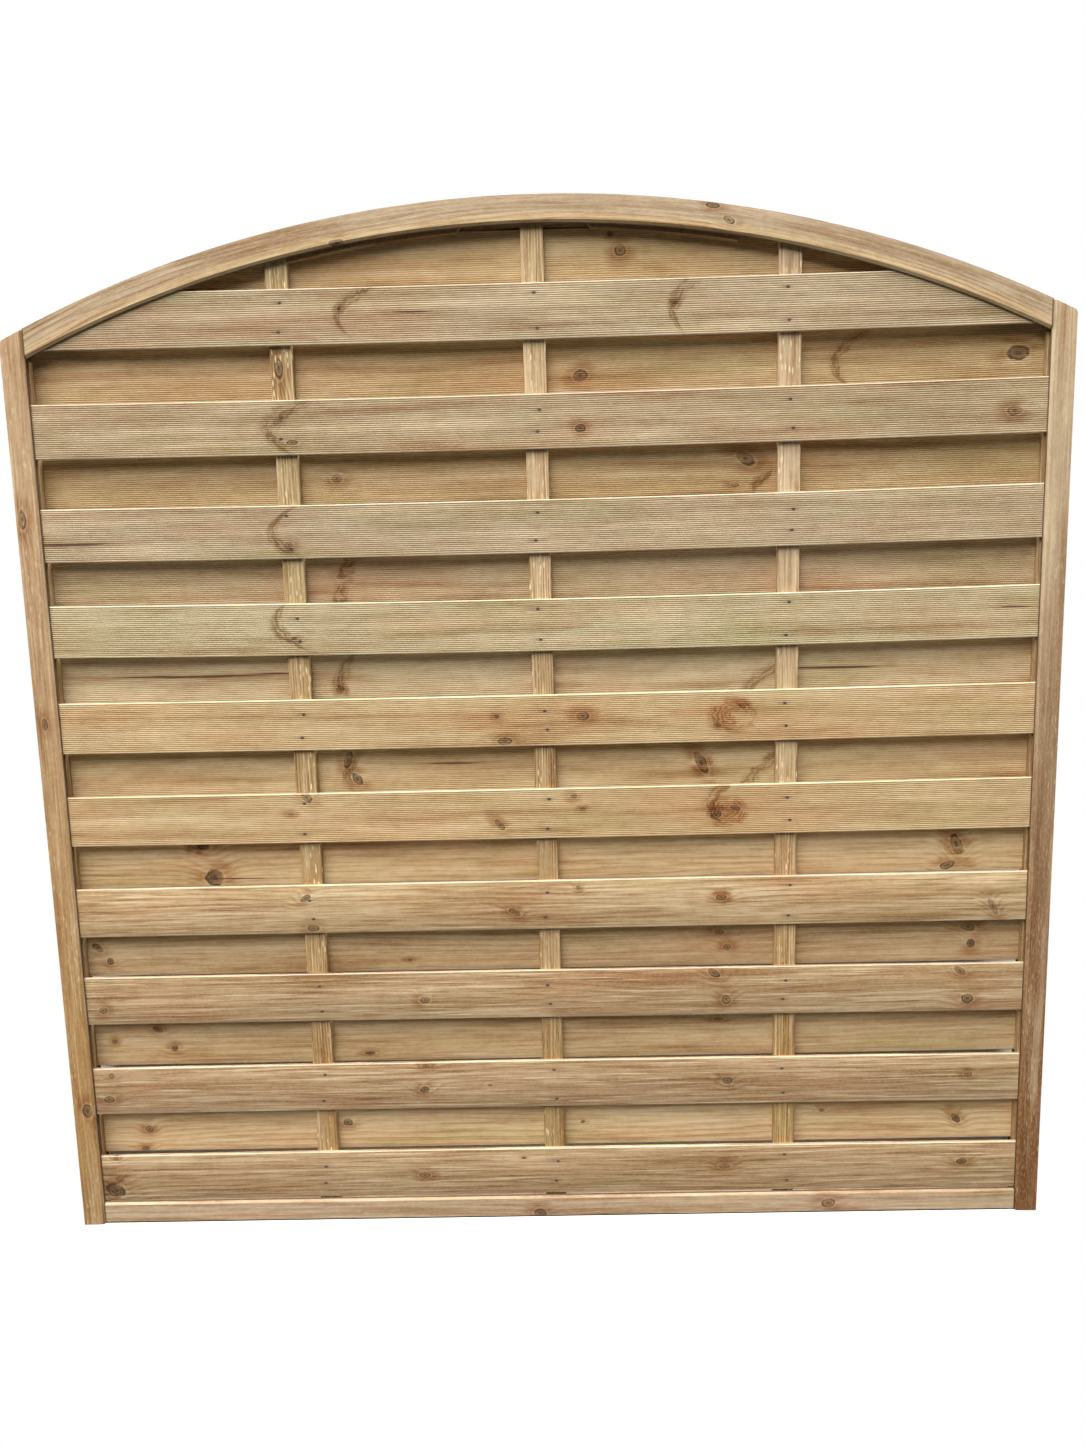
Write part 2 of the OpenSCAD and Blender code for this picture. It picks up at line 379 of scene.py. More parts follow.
        rim = product(ease(tree, off_rim, 0.20, 0.02), sum_node(tree, "MULTIPLY_ADD", broken, 0.75, 0.25))
        colour = tint(tree, product(rim, 0.90), colour, srgb(62, 46, 33))
        height = sum_node(tree, "MULTIPLY_ADD", heart, 0.5, height)
    for spot in swirls:
        # rings of a big knot that the planer has cut aslant, orange and brown
        reach = sum_node(tree, "SQRT", squared_distance(tree, along, across, spot))
        reach = sum_node(tree, "ADD", reach, product(sum_node(tree, "SUBTRACT", blotch, 0.5), 0.5))
        rings = sum_node(tree, "FRACT", sum_node(tree, "MULTIPLY", reach, 6.3))
        rings = product(ease(tree, rings, 0.1, 0.6), ease(tree, rings, 1.0, 0.8))
        seen = product(ease(tree, reach, 1.05, 0.75), ease(tree, mottle((24, 50, 20), 67.0), 0.36, 0.56))
        colour = stain(product(seen, 0.55), colour, srgb(228, 194, 156))
        colour = stain(product(seen, rings, 0.75), colour, srgb(186, 154, 116))
    for u0, v0, half, lean, bend, wide, spread in feathers:
        # where grain dives beside a knot the planer tore it up in dark slanting streaks
        v = sum_node(tree, "DIVIDE", sum_node(tree, "SUBTRACT", across, v0), half)
        spine = product(v, sum_node(tree, "MULTIPLY_ADD", v, bend, lean))
        off = sum_node(tree, "SUBTRACT", sum_node(tree, "SUBTRACT", along, u0), spine)
        broad = sum_node(tree, "MULTIPLY_ADD", v, spread * wide, wide)
        broad = sum_node(tree, "MAXIMUM", broad, wide * 0.25)
        off = sum_node(tree, "ADD", sum_node(tree, "DIVIDE", off, broad), product(ragged, 2.4))
        end = ease(tree, sum_node(tree, "ABSOLUTE", v), 1.2, 0.8)
        torn_part = product(ease(tree, sum_node(tree, "ABSOLUTE", off), 1.3, 0.4), end)
        streaks = cloudiness(tree, off, v, y, (2.6, 1.6, 9.0), seed + u0 * 9, 3.0)
        streaks = sum_node(tree, "MULTIPLY_ADD", ease(tree, streaks, 0.40, 0.60), 0.75, 0.25)
        colour = stain(product(torn_part, streaks, 0.9), colour, srgb(178, 154, 122))
    for spot in checks:
        rough = sum_node(tree, "MULTIPLY_ADD", sum_node(tree, "SUBTRACT", ripple, 0.5), 0.006, across)
        reach = sum_node(tree, "SQRT", squared_distance(tree, along, rough, spot))
        # the open slit of each check is painted dark, as painted shade inside the crack
        slit = ease(tree, reach, 1.1, 0.7)
        colour = stain(product(ease(tree, reach, 2.6, 0.9), 0.45), colour, srgb(206, 166, 136))
        colour = tint(tree, product(slit, 0.88), colour, srgb(82, 54, 38))
        height = sum_node(tree, "MULTIPLY_ADD", slit, -2.0, height)
    if nails:
        # iron has stained the wood grey and purple along the grain beside each nail
        wet = 0.0
        dent = 9.0
        for u, v in nails:
            smear = squared_distance(tree, along, across, (u - 0.003, v, 0.012, 0.0026))
            wet = sum_node(tree, "MAXIMUM", wet, sum_node(tree, "EXPONENT", product(smear, -1.0)))
            pressed = squared_distance(tree, along, across, (u, v, 0.0036, 0.0025))
            dent = sum_node(tree, "MINIMUM", dent, pressed)
        colour = tint(tree, product(wet, 0.42), colour, srgb(96, 78, 74))
        colour = tint(tree, product(ease(tree, dent, 1.3, 0.5), 0.80), colour, srgb(58, 50, 48))
    if flecks:
        # short pale splinters, in patches
        dots = tree.nodes.new("ShaderNodeTexVoronoi")
        join = tree.nodes.new("ShaderNodeCombineXYZ")
        for value, scale, socket in zip((along, across, y), (42.0, 190.0, 60.0), join.inputs):
            wire(tree, sum_node(tree, "MULTIPLY_ADD", value, scale, seed), socket)
        tree.links.new(join.outputs[0], dots.inputs["Vector"])
        dots.inputs["Scale"].default_value = 1.0
        patch = ease(tree, mottle((5, 30, 9), 4.4), 0.42, 0.60)
        dab = product(ease(tree, dots.outputs["Distance"], 0.34, 0.14), patch, flecks)
        colour = tint(tree, dab, colour, srgb(240, 222, 176))
    if reeded:
        # painted shade: the bottoms of the reeds are painted darker, more here than there
        valley = tree.nodes.new("ShaderNodeAttribute")
        valley.attribute_name = "valley"
        uneven = ease(tree, mottle((6, 30, 12), 47.0), 0.30, 0.66)
        uneven = sum_node(tree, "MULTIPLY_ADD", uneven, 0.75, 0.25)
        colour = stain(product(valley.outputs["Fac"], uneven, 0.75), colour, srgb(196, 166, 134))
    if arris_highlighted:
        # painted highlight: the eased arrises are painted paler than the face
        arris_highlight = tree.nodes.new("ShaderNodeAttribute")
        arris_highlight.attribute_name = "arris_highlight"
        colour = tint(tree, product(arris_highlight.outputs["Fac"], 0.42), colour, srgb(250, 240, 220))
    if joint_shaded:
        # painted shade: the frame is darkened where the slats run into it and at the rails' ends against
        # the stiles
        joint = tree.nodes.new("ShaderNodeAttribute")
        joint.attribute_name = "joint"
        dark = product(ease(tree, joint.outputs["Fac"], *JOINT_SHADE_SPAN), JOINT_SHADE_SHARE)
        if way != "z":
            reach = sum_node(tree, "ABSOLUTE", sum_node(tree, "SUBTRACT", x, PANEL_WIDTH / 2))
            end = PANEL_WIDTH / 2 - STILE_WIDTH
            last = ease(tree, reach, end - END_SHADE_GAP[0], end - END_SHADE_GAP[1])
            dark = sum_node(tree, "MAXIMUM", dark, product(last, JOINT_SHADE_SHARE))
        colour = tint(tree, dark, colour, srgb(46, 34, 22))

    wire(tree, colour, shader.inputs["Base Color"])
    wire(tree, sum_node(tree, "MULTIPLY_ADD", shown, 0.10, 0.74), shader.inputs["Roughness"])
    shader.inputs["Specular IOR Level"].default_value = 0.28
    bump = tree.nodes.new("ShaderNodeBump")
    bump.inputs["Strength"].default_value = 0.35
    bump.inputs["Distance"].default_value = 0.0006
    wire(tree, height, bump.inputs["Height"])
    tree.links.new(bump.outputs[0], shader.inputs["Normal"])
    return look


def saw(bm, point, direction):
    """Saws off what lies past the point in that direction, and closes the cut."""
    whole = bm.verts[:] + bm.edges[:] + bm.faces[:]
    got = bmesh.ops.bisect_plane(bm, geom=whole, dist=1e-7, plane_co=point, plane_no=direction,
                                 clear_outer=True)
    rim = [e for e in got["geom_cut"] if isinstance(e, bmesh.types.BMEdge) and e.is_boundary]
    if rim:
        bmesh.ops.holes_fill(bm, edges=rim)


def saw_to_arch(bm, radius, first, last, cuts):
    """Saws a board to a circle about the arch's centre, from one angle to another, in short cuts."""
    for k in range(cuts):
        turn = first + (last - first) * (k + 0.5) / cuts
        out = Vector((math.sin(turn), 0, math.cos(turn)))
        saw(bm, ARCH_CENTRE + out * radius, out)


def board(low, high):
    """A plain board between two corners."""
    bm = bmesh.new()
    bmesh.ops.create_cube(bm, size=1.0)
    bmesh.ops.scale(bm, vec=Vector(high) - Vector(low), verts=bm.verts[:])
    bmesh.ops.translate(bm, vec=(Vector(high) + Vector(low)) / 2, verts=bm.verts[:])
    return bm


def finish_piece(name, bm, look, nodes, arris=ARRIS, lip=None):
    """Makes the mesh a piece of the panel that stands for its CAD nodes. lip tells whether a point lies on
    the face that takes the slats' ends; painted shade darkens the joint there."""
    bmesh.ops.remove_doubles(bm, verts=bm.verts[:], dist=1e-6)
    if lip:
        # the lip's points carry the mask of the painted shade in the joint
        layer = bm.verts.layers.float.new("joint")
        for v in bm.verts:
            v[layer] = 1.0 if lip(v.co) else 0.0
    bmesh.ops.recalc_face_normals(bm, faces=bm.faces[:])
    mesh = bpy.data.meshes.new(name)
    bm.to_mesh(mesh)
    bm.free()
    mesh.shade_smooth()
    mesh.set_sharp_from_angle(angle=math.radians(FLAT_ANGLE))
    mesh.materials.append(look)
    piece = bpy.data.objects.new(name, mesh)
    bpy.context.scene.collection.objects.link(piece)
    panel_pieces.objects.link(piece)
    if arris:
        ease_off = piece.modifiers.new("eased arrises", "BEVEL")
        ease_off.width = arris
        ease_off.segments = 2
        ease_off.limit_method = "ANGLE"
        ease_off.angle_limit = math.radians(ARRIS_ANGLE)
        ease_off.harden_normals = False
    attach(piece, "root")
    if nodes:
        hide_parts(*nodes)


def stile(name, node, side, look):
    """side is 1 for the left stile, whose outer face is at 0, and -1 for the right one."""
    bm = board((0, -HALF_THICK, 0), (STILE_WIDTH, HALF_THICK, PANEL_HEIGHT))
    inner = [e for e in bm.edges
             if all(v.co.x > STILE_WIDTH - 1e-5 for v in e.verts)
             and abs(e.verts[0].co.z - e.verts[1].co.z) > 0.1]
    bmesh.ops.bevel(bm, geom=inner, offset=BEVEL, offset_type="OFFSET", segments=1, profile=0.5,
                    affect="EDGES", material=-1, clamp_overlap=True)
    # the groove: the middle strip of the inner face, pushed in between the rail and the arch
    for y in (-HALF_GROOVE, HALF_GROOVE):
        bmesh.ops.bisect_plane(bm, geom=bm.verts[:] + bm.edges[:] + bm.faces[:],
                               plane_co=(0, y, 0), plane_no=(0, 1, 0))
    rim_turn = math.asin((ARCH_CENTRE.x - STILE_WIDTH) / ARCH_RADIUS)
    groove_top = ARCH_CENTRE.z + math.sqrt((UNDER_RADIUS + GROOVE_DEPTH) ** 2
                                           - (ARCH_CENTRE.x - STILE_WIDTH) ** 2)
    for z in (GROOVE_FOOT, groove_top):
        bmesh.ops.bisect_plane(bm, geom=bm.verts[:] + bm.edges[:] + bm.faces[:],
                               plane_co=(0, 0, z), plane_no=(0, 0, 1))
    strip = [f for f in bm.faces if f.normal.x > 0.9
             and abs(f.calc_center_median().y) < HALF_GROOVE
             and GROOVE_FOOT < f.calc_center_median().z < groove_top]
    pushed = bmesh.ops.extrude_face_region(bm, geom=strip)
    bmesh.ops.delete(bm, geom=strip, context="FACES")
    moved = [v for v in pushed["geom"] if isinstance(v, bmesh.types.BMVert)]
    bmesh.ops.translate(bm, vec=(-GROOVE_DEPTH, 0, 0), verts=moved)
    # the head, sawn to the arch and rounded at the outer corner
    saw_to_arch(bm, ARCH_RADIUS, -math.asin(ARCH_CENTRE.x / ARCH_RADIUS) + 0.002, -rim_turn, 3)
    top_z = ARCH_CENTRE.z + math.sqrt((ARCH_RADIUS - HEAD_CORNER) ** 2
                                      - (ARCH_CENTRE.x - HEAD_CORNER) ** 2)
    for step in range(CORNER_CUTS):
        turn = math.radians((step + 1) * CORNER_TURN)
        out = Vector((-math.cos(turn), 0, math.sin(turn)))
        saw(bm, Vector((HEAD_CORNER, 0, top_z)) + out * HEAD_CORNER, out)
    if side < 0:
        bmesh.ops.scale(bm, vec=(-1, 1, 1), verts=bm.verts[:])
        bmesh.ops.translate(bm, vec=(PANEL_WIDTH, 0, 0), verts=bm.verts[:])
    face = STILE_WIDTH if side > 0 else PANEL_WIDTH - STILE_WIDTH
    finish_piece(name, bm, look, [node], lip=lambda co: abs(co.x - face) < LIP_REACH)


stile("left_stile", "stile_left", 1, softwood(
    "left stile", "z", srgb(188, 160, 126), 3.0, low_tone=srgb(171, 134, 83), ring=0.006,
    wander=0.012, flecks=0.3, hair=0.45, blush=0.3, line_share=0.45, joint_shaded=True,
    knots=[(1.322, 0.011, 0.016, 0.006), (0.965, 0.016, 0.010, 0.005), (0.232, 0.026, 0.012, 0.009)]))
stile("right_stile", "stile_right", -1, softwood(
    "right stile", "z", srgb(192, 172, 142), 17.0, low_tone=srgb(121, 80, 39), ring=0.007,
    wander=0.012, flecks=0.22, hair=0.25, blush=0.2, line_share=0.3, low_span=(1.75, 0.25),
    joint_shaded=True))

# The arched top rail: bent softwood of the same section, its groove downwards, housed between the
# two stiles.
UNDER_TURN = math.asin(PANEL_WIDTH / 2 / UNDER_RADIUS)
ARCH_STEPS = 112


def rail_section(bm, origin, depth, inward):
    """The grooved and bevelled section of the frame, as one face with its groove at the origin."""
    corners = [(BEVEL, -HALF_THICK), (depth, -HALF_THICK), (depth, HALF_THICK), (BEVEL, HALF_THICK),
               (0, HALF_THICK - BEVEL), (0, HALF_GROOVE), (GROOVE_DEPTH, HALF_GROOVE),
               (GROOVE_DEPTH, -HALF_GROOVE), (0, -HALF_GROOVE), (0, -HALF_THICK + BEVEL)]
    return bm.faces.new([bm.verts.new(origin + inward * a + Vector((0, b, 0))) for a, b in corners])


bm = bmesh.new()
start = Vector((-math.sin(UNDER_TURN), 0, math.cos(UNDER_TURN)))
section = rail_section(bm, ARCH_CENTRE + start * UNDER_RADIUS, ARCH_DEPTH, start)
bmesh.ops.spin(bm, geom=[section], cent=ARCH_CENTRE, axis=(0, 1, 0), angle=2 * UNDER_TURN,
               steps=ARCH_STEPS, use_duplicate=False)
saw(bm, Vector((STILE_WIDTH, 0, 0)), Vector((-1, 0, 0)))
saw(bm, Vector((PANEL_WIDTH - STILE_WIDTH, 0, 0)), Vector((1, 0, 0)))
finish_piece("arched_rail", bm, softwood(
    "arched rail", "arch", srgb(184, 165, 138), 29.0, low_tone=srgb(200, 176, 136), ring=0.008,
    wander=0.018, blush=0.3, line_share=0.7, hair=0.4, joint_shaded=True,
    knots=[(0.330, 0.021, 0.009, 0.005, 0.4), (0.300, 0.040, 0.010, 0.004),
           (-0.330, 0.004, 0.012, 0.005, 0.3)]),
    ["arch_rail"], lip=lambda co: abs((co - ARCH_CENTRE).xz.length - UNDER_RADIUS) < LIP_REACH)

# The bottom rail: the same section with its groove upwards, a little above the feet of the stiles.
RAIL_TOP = 0.045
RAIL_HEIGHT = 0.040
bm = bmesh.new()
section = rail_section(bm, Vector((STILE_WIDTH, 0, RAIL_TOP)), RAIL_HEIGHT, Vector((0, 0, -1)))
pushed = bmesh.ops.extrude_face_region(bm, geom=[section])
bmesh.ops.translate(bm, vec=(PANEL_WIDTH - 2 * STILE_WIDTH, 0, 0),
                    verts=[v for v in pushed["geom"] if isinstance(v, bmesh.types.BMVert)])
finish_piece("foot_rail", bm, softwood(
    "foot rail", "x", srgb(193, 169, 141), 41.0, ring=0.011, wander=0.014, blush=0.6,
    line_share=0.5, flecks=0.15, hair=0.4, joint_shaded=True,
    knots=[(0.869, 0.010, 0.011, 0.008), (1.411, 0.022, 0.012, 0.008)]),
    ["bottom_rail"], lip=lambda co: abs(co.z - RAIL_TOP) < LIP_REACH)

# The uprights between the slats: thin laths that fill the stiles' grooves, and three battens at
# the quarter points, to which every slat is nailed.
BATTEN_WIDTH = 0.038
HALF_BATTEN = 0.0075
BATTEN_ARRIS = 0.0015
LATH_ARRIS = 0.0008
OPENING = PANEL_WIDTH - 2 * STILE_WIDTH
BATTEN_MIDDLES = [STILE_WIDTH + OPENING * n / 4 for n in (1, 2, 3)]
batten_tones = [(srgb(186, 167, 123), srgb(178, 145, 94)), (srgb(202, 180, 143), srgb(170, 141, 91)),
                (srgb(205, 184, 154), srgb(186, 155, 99))]
for n, (middle, tones) in enumerate(zip(BATTEN_MIDDLES, batten_tones)):
    side = ("left", "middle", "right")[n]
    bm = board((middle - BATTEN_WIDTH / 2, -HALF_BATTEN, GROOVE_FOOT),
               (middle + BATTEN_WIDTH / 2, HALF_BATTEN, PANEL_HEIGHT))
    turn = math.asin((middle - ARCH_CENTRE.x) / UNDER_RADIUS)
    saw_to_arch(bm, UNDER_RADIUS + GROOVE_DEPTH, turn, turn, 1)
    knots = [(1.562, 0.466, 0.016, 0.007)] if n == 0 else []
    finish_piece(f"{side}_batten", bm, softwood(
        f"{side} batten", "z", tones[0], 53.0 + 7 * n, low_tone=tones[1], ring=0.005,
        wander=0.009, flecks=0.8, line_share=1.0, hair=0.8, knots=knots),
        [f"batten_{side}"], arris=BATTEN_ARRIS)
for side, x, tone in (("left", STILE_WIDTH - GROOVE_DEPTH, srgb(200, 170, 128)),
                      ("right", PANEL_WIDTH - STILE_WIDTH, srgb(176, 148, 108))):
    bm = board((x, -HALF_BATTEN, GROOVE_FOOT), (x + GROOVE_DEPTH, HALF_BATTEN, PANEL_HEIGHT))
    turn = math.asin((x + GROOVE_DEPTH / 2 - ARCH_CENTRE.x) / UNDER_RADIUS)
    saw_to_arch(bm, UNDER_RADIUS, turn, turn, 1)
    finish_piece(f"{side}_spacer", bm, softwood(
        f"{side} spacer", "z", tone, 71.0 + len(side), ring=0.005, wander=0.006,
        low_tone=srgb(168, 138, 94)), [f"spacer_{side}"], arris=LATH_ARRIS)

# Two curved laths, tacked into the arch's groove on both sides of the middle batten. They show as a
# thin brown strip over the top back slat, and each free end is sawn at a slope.
LATH_PROUD = 0.004
LATH_SLOPE = 0.012
LATH_HEIGHT = GROOVE_DEPTH + LATH_PROUD
LATH_RADIUS = UNDER_RADIUS - LATH_PROUD
LATH_STEPS = 24
LATH_SPARE = 0.02
lath_look = softwood("arch laths", "arch", srgb(146, 116, 80), 83.0, ring=0.004, wander=0.008)
for side, first, last, free in (("left", BATTEN_MIDDLES[0] + BATTEN_WIDTH / 2, 0.774, (0, 1)),
                                ("right", 0.999, 1.242, (1, 1))):
    bm = bmesh.new()
    turns = [math.asin((x - ARCH_CENTRE.x) / LATH_RADIUS) for x in (first - LATH_SPARE, last + LATH_SPARE)]
    out = Vector((math.sin(turns[0]), 0, math.cos(turns[0])))
    corners = [ARCH_CENTRE + out * (LATH_RADIUS + a) + Vector((0, b, 0))
               for a, b in ((0, -HALF_BATTEN), (LATH_HEIGHT, -HALF_BATTEN), (LATH_HEIGHT, HALF_BATTEN),
                            (0, HALF_BATTEN))]
    section = bm.faces.new([bm.verts.new(corner) for corner in corners])
    bmesh.ops.spin(bm, geom=[section], cent=ARCH_CENTRE, axis=(0, 1, 0), angle=turns[1] - turns[0],
                   steps=LATH_STEPS, use_duplicate=False)
    for x, sign, sloped in ((first, -1, free[0]), (last, 1, free[1])):
        foot = ARCH_CENTRE.z + math.sqrt(LATH_RADIUS ** 2 - (x - ARCH_CENTRE.x) ** 2)
        saw(bm, Vector((x, 0, foot)), Vector((sign * LATH_HEIGHT, 0, -LATH_SLOPE * sloped)).normalized())
    finish_piece(f"{side}_arch_lath", bm, lath_look, [f"arch_lath_{side}"], arris=LATH_ARRIS)

# The slats: thin planed boards, nailed to the battens in two staggered rows of ten. The upper six
# of each row show a finely reeded face, the lower four a smooth one.
SLATS_IN_ROW = 10
SLAT_WIDTH = 0.091
SLAT_THICK = 0.008
SLAT_IN = 0.010
SLAT_HEAD_IN = 0.008
SLAT_ARRIS = 0.002
REEDS = 25
REED_DEPTH = 0.0007
RINGS_PER_REED = 6
LENGTH_CUTS = 14
HEAD_CUTS = 9
BOW_LEVEL = 0.35
NAIL_SHARES = (0.24, 0.74)
NAIL_WOBBLE = 0.006
ROWS_REEDED = 6
FRONT_FACE = -0.0155
BACK_FACE = 0.0075

# the tone of each slat, from the top
front_tones = [srgb(184, 168, 139), srgb(180, 162, 131), srgb(182, 165, 136), srgb(192, 180, 146),
               srgb(199, 176, 134), srgb(199, 174, 132), srgb(194, 169, 130), srgb(177, 150, 114),
               srgb(176, 148, 114), srgb(178, 151, 116)]
back_tones = [srgb(206, 181, 136), srgb(192, 166, 123), srgb(187, 161, 118), srgb(192, 170, 136),
              srgb(204, 186, 151), srgb(201, 178, 135), srgb(216, 188, 144), srgb(192, 164, 124),
              srgb(200, 174, 132), srgb(228, 201, 157)]
# knots and marks of each slat, from the top: along, up from its lower edge, half length and
# half height, in millimetres, and their lean
front_knots = [
    [(575, 57, 3, 3, 0), (1137, 50, 4, 3, 0)],
    [(483, 20, 9, 4, 0), (974, 31, 8, 6, 0), (1705, 40, 12, 7, 0)],
    [(467, 23, 7, 5, 0)],
    [(466, 31, 5, 3, 0)],
    [(1249, 62, 6, 5, 0.3), (1205, 30, 6, 4, 0.3), (969, 51, 10, 7, 0), (817, 54, 5, 4, 0),
     (830, 9, 12, 6, 0)],
    [(472, 84, 9, 8, 0.4), (442, 54, 6, 3, 0), (816, 26, 8, 7, 0.8), (950, 76, 6, 5, 0), (965, 52, 5, 3, 0),
     (1237, 48, 8, 4, 0.4), (1203, 36, 9, 7, -0.3)],
    [(458, 67, 9, 5, -0.8), (470, 10, 10, 6, 0), (838, 33, 10, 5, 0.8), (954, 76, 4, 4, 0),
     (1212, 53, 9, 5, 0), (1700, 26, 9, 10, 1.0)],
    [(70, 30, 7, 6, 0), (668, 38, 9, 6, 0), (1198, 80, 10, 7, 0.6), (1221, 29, 8, 8, 0),
     (1645, 76, 10, 7, 0.6), (1660, 22, 10, 8, 0)],
    [(76, 76, 6, 5, 0), (66, 30, 9, 6, 0), (664, 85, 7, 4, 0), (660, 38, 8, 6, 0), (782, 45, 5, 2, 0),
     (1223, 46, 8, 6, 0), (1666, 50, 7, 5, 0)],
    [(69, 86, 5, 4, 0), (63, 20, 17, 13, 0.3), (653, 41, 9, 6, 0), (1218, 50, 10, 5, 0),
     (1660, 52, 9, 6, 0)]]
back_knots = [
    [(1047, 54, 9, 9, 0), (1030, 80, 4, 4, 0)],
    [(976, 27, 11, 9, 0), (1716, 44, 17, 11, 0)],
    [(552, 47, 9, 7, 0), (1258, 62, 14, 10, 0.4), (1240, 18, 7, 3, 0)],
    [(550, 50, 8, 5, 0)],
    [(540, 22, 5, 4, 0.4)],
    [(545, 60, 8, 12, -0.6), (560, 25, 9, 9, 0.5), (1180, 40, 12, 14, 0.9)],
    [(270, 78, 12, 8, 0.5), (288, 16, 15, 14, 0), (1640, 50, 12, 16, 0.6), (1625, 12, 12, 7, -0.5)],
    [(60, 56, 9, 7, 0.6), (82, 30, 6, 6, 0), (640, 21, 5, 3, 0), (1212, 64, 9, 5, 0),
     (1226, 34, 7, 6, 0), (1665, 64, 13, 6, 0.4), (1672, 32, 7, 8, 0)],
    [(76, 48, 5, 4, 0), (160, 70, 9, 5, 0.6), (189, 32, 6, 5, 0), (557, 16, 9, 3, 0), (1210, 70, 9, 3, 0)],
    [(118, 6, 8, 4, 0), (128, 45, 7, 6, 0), (508, 52, 8, 6, 0), (954, 45, 4, 3, 0), (1404, 60, 5, 4, 0),
     (1655, 40, 8, 7, 0.6)]]
# big knots cut aslant, in the same way
front_swirls = {4: [(1231, 47, 46, 36, 0)], 5: [(1224, 42, 40, 32, 0)], 6: [(1212, 53, 22, 14, 0)]}
back_swirls = {5: [(1180, 40, 22, 20, 0)], 6: [(1640, 50, 26, 22, 0)]}
# torn grain beside knots, from the top: along, up, half height, lean, bend, half width, spread
front_feathers = {0: [(576, 56, 42, 29, 40, 13, 0.9), (1134, 48, 42, 11, 24, 12, 0.8)],
                  1: [(449, 46, 44, 16, 42, 19, 0.5)], 2: [(440, 50, 46, 10, 46, 10, -0.6)],
                  3: [(437, 54, 46, -13, 40, 13, -0.9)], 5: [(1194, 60, 36, 10, 24, 14, 0.4)],
                  9: [(50, 24, 26, 8, 24, 20, 0)]}
back_feathers = {1: [(1408, 44, 44, 14, 36, 13, 0.5), (470, 66, 30, 10, 0, 16, 0)],
                 2: [(1278, 20, 22, 20, 6, 14, 0)],
                 3: [(566, 72, 22, 12, 0, 14, 0), (548, 10, 24, -4, 6, 18, -0.4)],
                 4: [(540, 44, 36, 12, 12, 13, -0.4), (1278, 16, 36, 40, 10, 17, 0.3)],
                 5: [(545, 40, 34, 10, 14, 11, 0), (1284, 24, 40, 42, 8, 18, 0.3)],
                 6: [(262, 84, 22, 10, 0, 22, 0)]}
# drying checks, in the same way
front_checks = {0: [(694, 48, 34, 1.4)], 2: [(92, 33, 66, 2.0)], 3: [(1720, 54, 30, 1.4)],
                9: [(841, 73, 5, 2)]}
back_checks = {4: [(270, 49, 145, 2.2, 0.3), (425, 51, 40, 1.2), (1414, 38, 84, 2.0)],
               5: [(735, 50, 50, 1.7)], 6: [(330, 14, 60, 1.0)]}
# how the boards lie, from the top: rise of the right end and of both ends over the middle, in
# millimetres, as nailed and as dried
front_lie = [(-1, 4), (0, 5), (0, 5), (-2, 6), (-1, 3), (-0.5, 2), (-0.5, 0), (-2, -1), (-0.5, -2), (0, -2)]
back_lie = [(-3, 0), (0, 5), (0, 2), (-1, 2), (0, 1), (0, 1), (0, 0), (-1, 0), (0, 0), (0, 0)]


def nail_rows(n, low):
    """Where the two nails of each batten go in slat n whose lower edge is at height low."""
    spots = []
    for k, middle in enumerate(BATTEN_MIDDLES):
        for j, share in enumerate(NAIL_SHARES):
            spots.append((middle + NAIL_WOBBLE * math.sin(4.7 * n + 1.9 * k + j),
                          low + SLAT_WIDTH * share + NAIL_WOBBLE * math.sin(2.3 * n + 5.1 * k + 2.9 * j)))
    return spots


